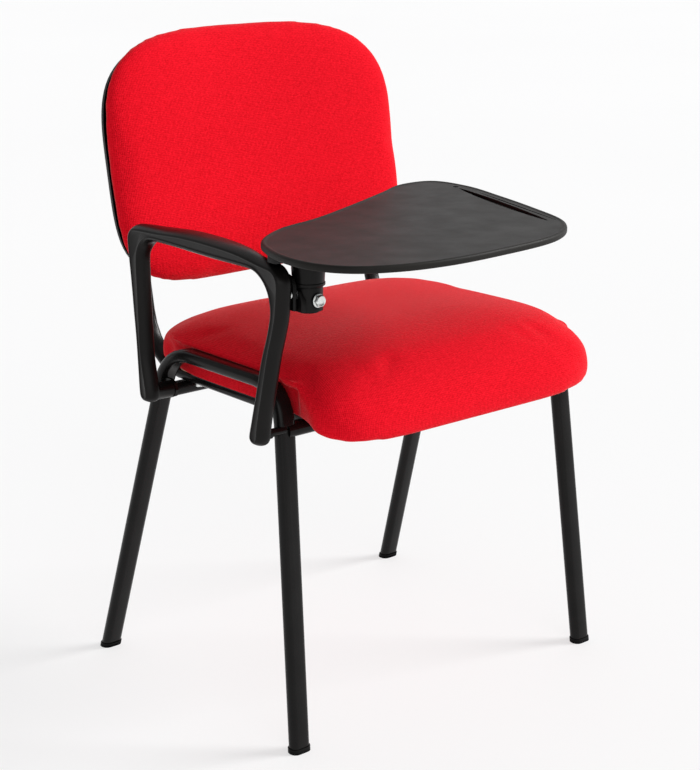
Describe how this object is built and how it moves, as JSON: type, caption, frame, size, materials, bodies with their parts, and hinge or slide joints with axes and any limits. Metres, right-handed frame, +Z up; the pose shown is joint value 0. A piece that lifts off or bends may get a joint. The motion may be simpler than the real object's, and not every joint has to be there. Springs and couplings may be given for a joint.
{
  "type": "student desk chair",
  "caption": "Stacking visitor chair with upholstered seat and back, one loop armrest and a writing tablet that swivels and tips up beside the sitter.",
  "frame": {"origin": "on the floor, under the middle of the whole chair's plan box", "axes": "+Z up, -Y is the way the sitter faces, +X is the sitter's left; the arm and tablet are on the -X side"},
  "size_m": [0.5674, 0.6328, 0.816],
  "materials": {
    "frame_steel": "black satin powder coat",
    "zinc_steel": "bright zinc plate",
    "foot_plastic": "black moulded plastic",
    "arm_plastic": "black satin moulded plastic",
    "shell_plastic": "black textured plastic",
    "tablet_plastic": "dark grey satin moulded plastic",
    "upholstery": "red crepe-weave fabric over foam",
    "plywood": "bare plywood",
    "felt_liner": "black underside cloth",
    "rest_rubber": "soft black rubber"
  },
  "bodies": {
    "chair": {"side_frame_right": "frame_steel", "back_support_right": "frame_steel", "foot_cap_front_right": "foot_plastic", "foot_cap_rear_right": "foot_plastic", "side_frame_left": "frame_steel", "back_support_left": "frame_steel", "foot_cap_front_left": "foot_plastic", "foot_cap_rear_left": "foot_plastic", "cross_tube_front": "frame_steel", "cross_tube_rear": "frame_steel", "arm_tab": "frame_steel", "seat_board": "plywood", "seat_tnut_right_front": "zinc_steel", "seat_tnut_right_rear": "zinc_steel", "seat_tnut_left_front": "zinc_steel", "seat_tnut_left_rear": "zinc_steel", "seat_screw_right_front": "zinc_steel", "seat_screw_right_rear": "zinc_steel", "seat_screw_left_front": "zinc_steel", "seat_screw_left_rear": "zinc_steel", "seat_liner": "felt_liner", "seat_cushion": "upholstery", "back_board": "plywood", "back_screw_right_low": "zinc_steel", "back_screw_right_high": "zinc_steel", "back_screw_left_low": "zinc_steel", "back_screw_left_high": "zinc_steel", "back_cushion": "upholstery", "back_shell": "shell_plastic", "shell_screw_right_low": "zinc_steel", "shell_screw_right_high": "zinc_steel", "shell_screw_left_low": "zinc_steel", "shell_screw_left_high": "zinc_steel", "armrest": "arm_plastic", "arm_front_stud": "frame_steel", "arm_rear_screw": "zinc_steel", "arm_bracket": "frame_steel", "bracket_screw_low": "zinc_steel", "bracket_screw_high": "zinc_steel", "pivot_stud": "zinc_steel", "pivot_washer": "zinc_steel", "tablet_rest_pad": "rest_rubber"},
    "knuckle": {"hub_knuckle": "arm_plastic", "lock_bolt": "zinc_steel"},
    "tablet": {"swivel_cup": "arm_plastic", "stem_retainer": "zinc_steel", "tablet_plate": "frame_steel", "tablet_screw_right_front": "zinc_steel", "tablet_screw_right_rear": "zinc_steel", "tablet_screw_left_front": "zinc_steel", "tablet_screw_left_rear": "zinc_steel", "tablet_top": "tablet_plastic"}
  },
  "joints": [
    {"name": "tablet_tilt", "type": "hinge", "parent": "chair", "child": "knuckle", "pos_m": [-0.22887, -0.14828, 0.564], "axis": [1, 0, 0], "range_deg": [0, 90]},
    {"name": "tablet_swivel", "type": "hinge", "parent": "knuckle", "child": "tablet", "pos_m": [-0.21487, -0.15128, 0.59], "axis": [0, 0, 1], "range_deg": [-100, 10]}
  ]
}
